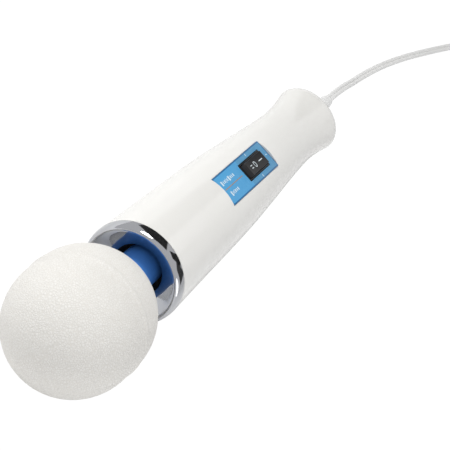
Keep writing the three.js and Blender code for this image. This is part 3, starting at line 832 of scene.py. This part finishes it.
def makeRockerMarks():
    slope = math.atan2(rocker["tip"] - rocker["dip"], marks["run"])
    half, sink, lift = marks["half"], marks["sink"], marks["lift"]
    made = []
    for x, offsets, long in marks["bars"]:
        for offset in offsets:
            bar = blockPiece("markBar", (-long, -half, -sink), (long, half, lift))
            middle = Vector((rocker["middle"] + x, offset, rockerTop(x))) * mm
            lean = Matrix.Rotation(-math.copysign(slope, x), 4, "Y")
            layDown(bar, Matrix.Translation(middle) @ lean)
            made.append(bar)
    clearSelection()
    bpy.ops.mesh.primitive_torus_add(
        major_radius=marks["ring"] * mm, minor_radius=half * mm, major_segments=40, minor_segments=8,
        location=(rocker["middle"] * mm, 0, (rocker["dip"] + marks["ringLift"]) * mm),
    )
    ring = bpy.context.object
    ring.scale.x = marks["ringShare"]
    bpy.ops.object.transform_apply(location=True, rotation=True, scale=True)
    piece = joinPieces(ring, *made)
    piece.name = piece.data.name = "rockerMarks"
    layDown(piece, panelPlace)
    dress(piece, "switch_black", "rocker", finish=printWhite)


makeLabel()
makePrint()
makeSwitch()
makeRocker()
makeRockerMarks()
print("switch panel made")

relief = {
    "start": 255, "flange": 3, "collar": 9, "root": 6, "out": 262.4, "end": 287, "tip": 3.2, "sides": 72,
}
lead = {"width": 4.5, "thick": 2.4, "length": 1.8, "lobeSteps": 11, "turnSteps": 26}
coil = {
    "x": 388, "y": -46, "outer": 32.1, "inner": 20.6, "low": 3.45, "high": 8.05, "enter": 189, "turns": 9.2,
    "stepsPerTurn": 40, "riseRadius": 22, "riseTouch": 300, "riseSwing": 75, "riseSteps": 24,
}
plug = {
    "x": 414.3, "y": -49.05, "lift": 10.6, "turn": -75, "z": 6.6, "height": 13.2, "edge": 1.3,
    "halfPlan": [
        (0, 3.2), (-4, 3.3), (-8, 4.6), (-12, 7.4), (-16, 8.9),
        (-20, 9.3), (-23, 10.6), (-25, 11.8), (-27, 12),
    ],
    "sideView": [(1, 3), (-8, 2.2), (-14, 0), (-28, 0), (-28, 13.2), (-14, 13.2), (-8, 11), (1, 10.2)],
    "bladeApart": 12.7, "bladeWide": 6.35, "bladeThick": 1.5, "bladeLong": 17, "bladeRoot": -27.2,
    "taperLong": 2.4, "taperWide": 1.4, "bladeHole": 1.5, "holeIn": 3.6,
}

# out of the strain relief, down to the surface and away in one loose curve
leadRoute = [
    (161.3, 0, 12.44), (167, 0, 12), (174, -0.1, 11.3), (181, -0.3, 10.1), (189, -0.7, 8.1),
    (198, -1.2, 5.6), (207, -1.8, 3.5), (217, -2.5, 2.1), (229, -3.6, 1.45), (242, -5.3, 1.3),
    (256, -7.7, 1.3), (271, -10.9, 1.3), (286, -14.6, 1.3), (301, -18.7, 1.3), (315, -22.7, 1.3),
    (328, -26.7, 1.5), (337.6, -29.8, 2.3), (344.8, -33.2, 2.9), (350.5, -38.2, 3.3), (354.65, -44.5, 3.45),
]


def coilTurns():
    # in along the lower layer, up, and out again along the upper one, anticlockwise from above
    steps = round(coil["turns"] * coil["stepsPerTurn"])
    points = []
    for i in range(steps + 1):
        share = i / steps
        radius = coil["inner"] + (coil["outer"] - coil["inner"]) * abs(2 * share - 1)
        angle = math.radians(coil["enter"] + 360 * coil["turns"] * share)
        height = coil["low"] + (coil["high"] - coil["low"]) * eased(share, 0.485, 0.515)
        points.append((coil["x"] + radius * math.cos(angle), coil["y"] + radius * math.sin(angle), height))
    return points


def riseToPlug():
    # off the upper layer, along a tighter circle that touches it from inside, and up to the plug
    leave = math.radians((coil["enter"] + 360 * coil["turns"]) % 360)
    touch, small, steps = math.radians(coil["riseTouch"]), coil["riseRadius"], coil["riseSteps"]
    flatRun = (touch - leave) * coil["outer"]
    tightRun = math.radians(coil["riseSwing"]) * small
    climb = plug["lift"] + plug["z"] - coil["high"]
    points = []
    for i in range(1, steps + 1):
        run = (flatRun + tightRun) * i / steps
        if run < flatRun:
            angle, radius, offset = leave + run / coil["outer"], coil["outer"], 0
        else:
            angle, radius, offset = touch + (run - flatRun) / small, small, coil["outer"] - small
        x = coil["x"] + offset * math.cos(touch) + radius * math.cos(angle)
        y = coil["y"] + offset * math.sin(touch) + radius * math.sin(angle)
        points.append((x, y, coil["high"] + climb * eased(i / steps, 0, 1)))
    ahead = math.radians(plug["turn"] + 180)
    x, y, height = points[-1]
    return [*points, (x + 2 * math.cos(ahead), y + 2 * math.sin(ahead), height)]


def leadSection():
    # two round cores side by side: one lobe's outline, then the same turned half round
    lobe = lead["thick"] / 2
    apart = lead["width"] / 2 - lobe
    waist = math.degrees(math.acos(apart / lobe))
    angles = [math.radians(a) for a in spread(-180 + waist, 180 - waist, lead["lobeSteps"])]
    section = [(apart + lobe * math.cos(a), lobe * math.sin(a)) for a in angles]
    return [*section, *[(-x, -y) for x, y in section]]


def tubeMesh(name, path, section, turnFrom, turnTo):
    # the section carried along the path, flat at first, then turned up on its edge
    vertices, faces = [], []
    count = len(section)
    for i, here in enumerate(path):
        ahead = (path[min(i + 1, len(path) - 1)] - path[max(i - 1, 0)]).normalized()
        across = ahead.cross(Vector((0, 0, 1))).normalized()
        turn = math.pi / 2 * eased(i, turnFrom, turnTo)
        wide = across * math.cos(turn) + across.cross(ahead) * math.sin(turn)
        thin = ahead.cross(wide)
        vertices += [here + wide * (u * mm) - thin * (v * mm) for u, v in section]
        start = (i - 1) * count
        for k in range(count if i else 0):
            beside = (k + 1) % count
            faces.append((start + k, start + beside, start + count + beside, start + count + k))
    faces.append(tuple(reversed(range(count))))
    faces.append(tuple(range(len(vertices) - count, len(vertices))))
    mesh = bpy.data.meshes.new(name)
    mesh.from_pydata([tuple(v) for v in vertices], [], faces)
    return mesh


def makeLead():
    front = curveThrough(leadRoute, 6)
    path = smoothed([Vector(p) * mm for p in (*front, *coilTurns(), *riseToPlug())], 3)
    mesh = tubeMesh("mainsLead", path, leadSection(), len(front) - lead["turnSteps"], len(front))
    piece = bpy.data.objects.new("mainsLead", mesh)
    bpy.context.scene.collection.objects.link(piece)
    takeUp(piece)
    bpy.ops.object.mode_set(mode="EDIT")
    bpy.ops.mesh.select_all(action="SELECT")
    bpy.ops.mesh.remove_doubles(threshold=1e-7)
    bpy.ops.mesh.normals_make_consistent(inside=False)
    bpy.ops.object.mode_set(mode="OBJECT")
    dress(piece, "lead_plastic", "handle", "power_cord", "cord_coil", "plug_lead", angle=55)
    print("lead length", round(sum((b - a).length for a, b in zip(path, path[1:])), 3))
    return piece, path


def makeRelief():
    # a collar held inside the tail, then a taper down to the lead
    start, out, end, root, tip = (relief[key] for key in ("start", "out", "end", "root", "tip"))
    flangeEnd, rim, shoulder = start + relief["flange"], relief["collar"], root - 0.5
    walk = spread(out + 3, end - 1, 13)
    slope = (shoulder - tip) / (walk[-1] - walk[0])
    profile = [
        (start, 0), (start, rim - 0.4), (start + 0.4, rim), (flangeEnd, rim), (flangeEnd, root), (out, root),
        *[(x, shoulder - slope * (x - walk[0])) for x in walk],
        (end - 0.3, tip - 0.15), (end, tip - 0.6), (end, 0),
    ]
    piece = spinPiece("strainRelief", profile, relief["sides"])
    flatten(piece)
    layDown(piece, wandPlace)
    dress(piece, "lead_plastic", "handle", "strain_relief", angle=40)


def makePlugBody(place):
    half = plug["halfPlan"]
    plan = [*[(x, y, 0) for x, y in half], *[(x, -y, 0) for x, y in reversed(half)]]
    body = pushPiece("plugBody", plan, (0, 0, plug["height"]))
    carve(body, pushPiece("plugSide", [(x, -15, z) for x, z in plug["sideView"]], (0, 30, 0)), "INTERSECT")
    takeUp(body)
    edges = body.modifiers.new("soften", "BEVEL")
    edges.width = plug["edge"] * mm
    edges.segments = 4
    edges.limit_method = "ANGLE"
    edges.angle_limit = math.radians(28)
    bpy.ops.object.modifier_apply(modifier=edges.name)
    layDown(body, place)
    dress(body, "lead_plastic", "handle", "plug_body")
    return body


def makeBlade(number, y, place):
    # a flat blade with a tapered tip and a round hole through it
    side, root = y - plug["bladeThick"] / 2, plug["bladeRoot"]
    tip = root - 0.1 - plug["bladeLong"]
    low, high = plug["z"] - plug["bladeWide"] / 2, plug["z"] + plug["bladeWide"] / 2
    bend, taper = tip + plug["taperLong"], plug["taperWide"]
    outline = [(root, low), (bend, low), (tip, low + taper), (tip, high - taper), (bend, high), (root, high)]
    name = f"plugBlade{number}"
    blade = pushPiece(name, [(x, side, z) for x, z in outline], (0, plug["bladeThick"], 0), 0.25, 2)
    hole = rodPiece("bladeHole", (tip + plug["holeIn"], 0), -4, 4, plug["bladeHole"])
    layDown(hole, Matrix.Translation((0, y * mm, plug["z"] * mm)) @ Matrix.Rotation(math.pi / 2, 4, "X"))
    carve(blade, hole)
    layDown(blade, place)
    dress(blade, "blade_brass", "handle", f"plug_blade_{number}")
    return blade


def makePlug():
    at = Matrix.Translation(Vector((plug["x"], plug["y"], plug["lift"])) * mm)
    place = at @ Matrix.Rotation(math.radians(plug["turn"]), 4, "Z")
    halfApart = plug["bladeApart"] / 2
    return [makePlugBody(place), makeBlade(1, halfApart, place), makeBlade(2, -halfApart, place)]


tie = {"middle": 26.4, "half": 7.7, "thick": 0.9, "halfWide": 3, "room": 10.8, "at": 232, "edge": 0.4}


def makeTie():
    half, thick, wide, room = tie["half"], tie["thick"], tie["halfWide"], tie["room"]
    band = blockPiece("coilTie", (-half - thick, -wide, 0), (half + thick, wide, room + thick), tie["edge"])
    carve(band, blockPiece("through", (-half, -wide - 2, thick), (half, wide + 2, room), 0.8))
    turn = math.radians(tie["at"])
    middle = Vector((coil["x"], coil["y"], 0)) + tie["middle"] * Vector((math.cos(turn), math.sin(turn), 0))
    layDown(band, Matrix.Translation(middle * mm) @ Matrix.Rotation(turn, 4, "Z"))
    dress(band, "tie_rubber", "handle", "cord_tie")
    return band


makeRelief()
leadPiece, leadPath = makeLead()
onLead = [*makePlug(), makeTie()]
print("lead, plug and tie made")


def dressNodes():
    # the nodes that stay as they are take the finish of their slot
    slots = {part["node"]: part["material_slot"] for part in frame["record"]["subparts"]}
    for name, node in nodes.items():
        for slot in node.material_slots:
            slot.material = finishes[slots[name]]


# the floor glows for the camera alone, so that it stays white under the object
ground = {"size": 8, "drop": 0.0002, "glow": 1.06, "glowShare": 0.94}


def setFloor():
    clearSelection()
    bpy.ops.mesh.primitive_plane_add(size=ground["size"], location=(0, 0, -ground["drop"]))
    floor = bpy.context.object
    floor.name = floor.data.name = "floor"
    paper = Finish("floorPaper", Base_Color=(0.9, 0.9, 0.9), Roughness=0.9, Specular_IOR_Level=0.1)
    seen = paper.add("ShaderNodeLightPath", output="Is Camera Ray")
    glow = paper.add("ShaderNodeEmission", None, {"Strength": ground["glow"]})
    mixed = paper.add("ShaderNodeMixShader", None, {0: seen * ground["glowShare"], 1: paper.shaded, 2: glow})
    paper.feed(paper.end.inputs["Surface"], mixed)
    floor.data.materials.append(paper.material)


# dark cards behind the tail, for the chrome to mirror: heading and height in degrees, sizes in metres
cards = {
    "darkCardLeft": {"heading": 24, "height": 44, "wide": 0.66, "high": 1.0, "shade": 0.02},
    "darkCardRight": {"heading": -30, "height": 36, "wide": 0.24, "high": 0.5, "shade": 0.02},
    "greyCardRight": {"heading": -48, "height": 22, "wide": 0.34, "high": 0.5, "shade": 0.06},
}
cardsFrom = {"middle": (-0.08, 0, 0.035), "away": 0.9}


def setCards():
    for name, facts in cards.items():
        clearSelection()
        bpy.ops.mesh.primitive_plane_add(size=1)
        card = bpy.context.object
        card.name = card.data.name = name
        heading, height = math.radians(facts["heading"]), math.radians(facts["height"])
        level = math.cos(height)
        ahead = Vector((level * math.cos(heading), level * math.sin(heading), math.sin(height)))
        card.matrix_world = (
            Matrix.Translation(Vector(cardsFrom["middle"]) + ahead * cardsFrom["away"])
            @ (-ahead).to_track_quat("Z", "Y").to_matrix().to_4x4()
            @ Matrix.Diagonal((facts["wide"], facts["high"], 1, 1))
        )
        card.visible_camera = False
        paper = Finish(f"{name}Paper", Base_Color=(facts["shade"],) * 3, Roughness=0.8)
        card.data.materials.append(paper.material)


dressNodes()
setFloor()
setCards()
print("nodes dressed and stage set")
